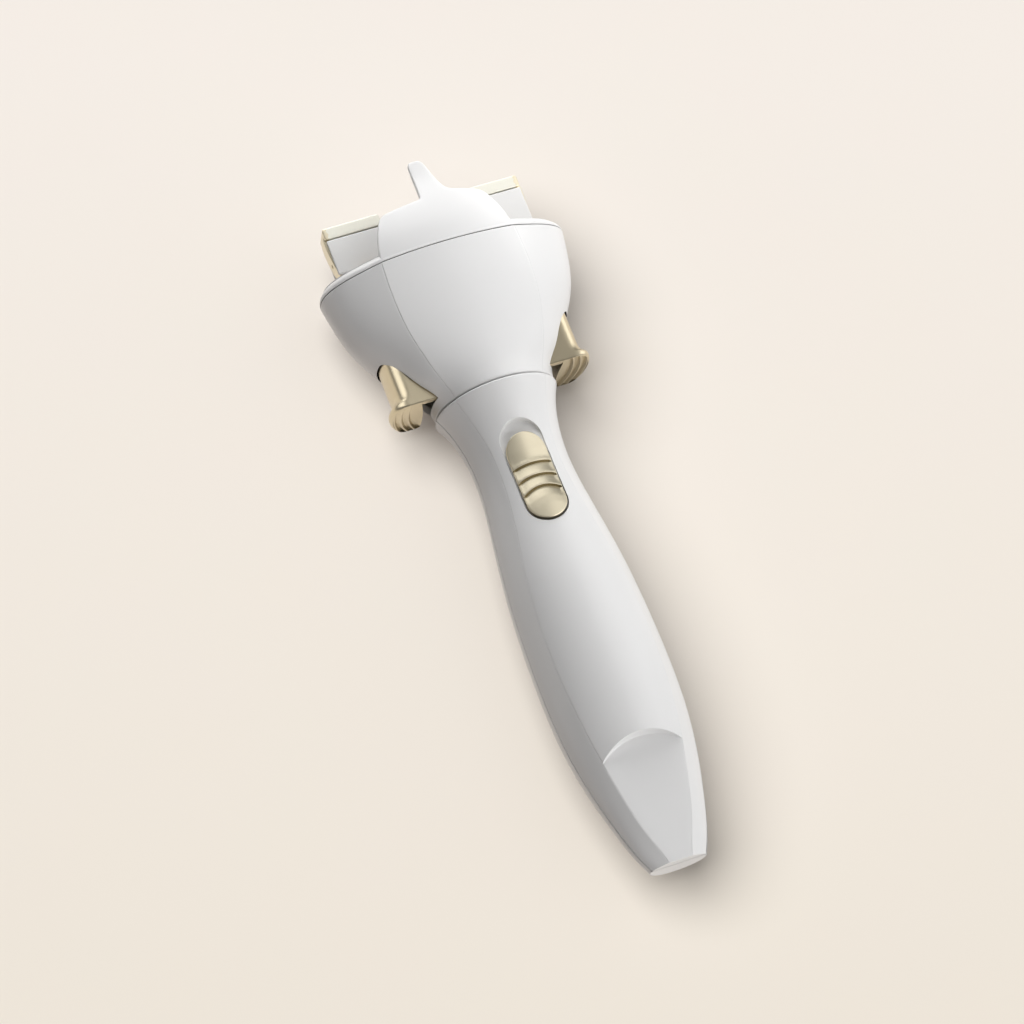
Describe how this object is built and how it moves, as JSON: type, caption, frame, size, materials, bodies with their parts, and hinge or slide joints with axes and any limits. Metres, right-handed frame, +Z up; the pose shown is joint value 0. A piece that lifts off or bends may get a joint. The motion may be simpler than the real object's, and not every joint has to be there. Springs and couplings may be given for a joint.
{
  "type": "automatic hair braider",
  "caption": "Handheld hair braider: waisted handle with slide switch and battery door, bowl-shaped turning head with a prong, spinning strand chucks with jaws opened by side triggers.",
  "frame": {"origin": "centre of the base of the bounding box, with the tool lying on its back", "axes": "+Y along the tool from handle to head, +Z up out of the front with the slide switch, +X to the side"},
  "size_m": [0.0776, 0.2266, 0.04],
  "materials": {
    "shell_white": "satin-gloss moulded",
    "trim_champagne": "satin champagne metallic",
    "block_white": "satin-gloss moulded",
    "tray_grey": "moulded",
    "cell_sleeve": "printed sleeve, plain",
    "contact_nickel": "nickel plated",
    "motor_steel": "zinc plated",
    "gearbox_grey": "die cast",
    "board_green": "solder mask",
    "switch_metal": "plain",
    "slider_black": "moulded",
    "bush_brass": "machined",
    "shaft_steel": "ground",
    "screw_steel": "zinc plated",
    "gear_acetal": "natural acetal",
    "plate_white": "moulded",
    "pad_rubber": "moulded",
    "spring_steel": "drawn wire"
  },
  "bodies": {
    "handle": {"handle_front_shell": "shell_white", "handle_rear_shell": "shell_white", "handle_screws": "screw_steel", "battery_cell_left": "cell_sleeve", "battery_cell_right": "cell_sleeve", "battery_tray": "tray_grey", "contact_plate_lower": "contact_nickel", "contact_plates_upper": "contact_nickel", "contact_springs": "contact_nickel", "motor_can": "motor_steel", "motor_terminals": "contact_nickel", "gearbox": "gearbox_grey", "motor_clamp": "tray_grey", "circuit_board": "board_green", "slide_switch": "switch_metal", "neck_bush": "bush_brass"},
    "door": {"battery_door": "shell_white"},
    "switch": {"switch_knob": "trim_champagne", "switch_slider": "slider_black"},
    "head": {"head_cone": "shell_white", "head_cap": "shell_white", "hub_retainer": "plate_white", "hub_screws": "screw_steel", "gear_plate": "plate_white", "gear_plate_screws": "screw_steel", "chuck_bushes": "bush_brass", "shaft_bushes": "bush_brass", "trigger_spring_left": "spring_steel", "trigger_spring_right": "spring_steel"},
    "drive": {"main_shaft": "shaft_steel", "sun_gear": "gear_acetal"},
    "chuck_left": {"chuck_shaft_left": "shaft_steel", "shaft_clip_left": "spring_steel", "planet_gear_left": "gear_acetal", "chuck_block_left": "block_white", "clamp_pad_left": "pad_rubber", "hinge_pin_left": "shaft_steel"},
    "jaw_left": {"jaw_left": "trim_champagne"},
    "trigger_left": {"trigger_left": "trim_champagne", "push_rod_left": "shaft_steel"},
    "chuck_right": {"chuck_shaft_right": "shaft_steel", "shaft_clip_right": "spring_steel", "planet_gear_right": "gear_acetal", "chuck_block_right": "block_white", "clamp_pad_right": "pad_rubber", "hinge_pin_right": "shaft_steel"},
    "jaw_right": {"jaw_right": "trim_champagne"},
    "trigger_right": {"trigger_right": "trim_champagne", "push_rod_right": "shaft_steel"}
  },
  "joints": [
    {"name": "head_turn", "type": "hinge", "parent": "handle", "child": "head", "pos_m": [0, 0.03475, 0.0195], "axis": [0, 1, 0], "continuous": true},
    {"name": "drive_spin", "type": "hinge", "parent": "head", "child": "drive", "pos_m": [0, 0.07475, 0.0195], "axis": [0, 1, 0], "continuous": true},
    {"name": "switch_slide", "type": "slide", "parent": "handle", "child": "switch", "axis": [0, 1, 0], "range_m": [0, 0.0042]},
    {"name": "battery_door_hinge", "type": "hinge", "parent": "handle", "child": "door", "pos_m": [0, -0.08095, 0.0024], "axis": [-1, 0, 0], "range_deg": [0, 80]},
    {"name": "chuck_left_spin", "type": "hinge", "parent": "head", "child": "chuck_left", "pos_m": [-0.021, 0.08675, 0.0195], "axis": [0, 1, 0], "continuous": true},
    {"name": "trigger_left_press", "type": "slide", "parent": "head", "child": "trigger_left", "axis": [0, 1, 0], "range_m": [0, 0.004], "stiffness_N_per_m": 500, "springref_m": -0.004, "deforming": ["trigger_spring_left"]},
    {"name": "jaw_left_open", "type": "hinge", "parent": "chuck_left", "child": "jaw_left", "pos_m": [-0.0294, 0.09615, 0.0195], "axis": [0, 0, 1], "range_deg": [0, 26.2]},
    {"name": "chuck_right_spin", "type": "hinge", "parent": "head", "child": "chuck_right", "pos_m": [0.021, 0.08675, 0.0195], "axis": [0, 1, 0], "continuous": true},
    {"name": "trigger_right_press", "type": "slide", "parent": "head", "child": "trigger_right", "axis": [0, 1, 0], "range_m": [0, 0.004], "stiffness_N_per_m": 500, "springref_m": -0.004, "deforming": ["trigger_spring_right"]},
    {"name": "jaw_right_open", "type": "hinge", "parent": "chuck_right", "child": "jaw_right", "pos_m": [0.0294, 0.09615, 0.0195], "axis": [0, 0, -1], "range_deg": [0, 26.2]}
  ],
  "couplings": [
    {"joint": "chuck_left_spin", "follows": "drive_spin", "ratio": -1.5},
    {"joint": "chuck_right_spin", "follows": "drive_spin", "ratio": -1.5},
    {"joint": "jaw_left_open", "follows": "trigger_left_press", "rad_per_m": 113.45},
    {"joint": "jaw_right_open", "follows": "trigger_right_press", "rad_per_m": 113.45}
  ]
}
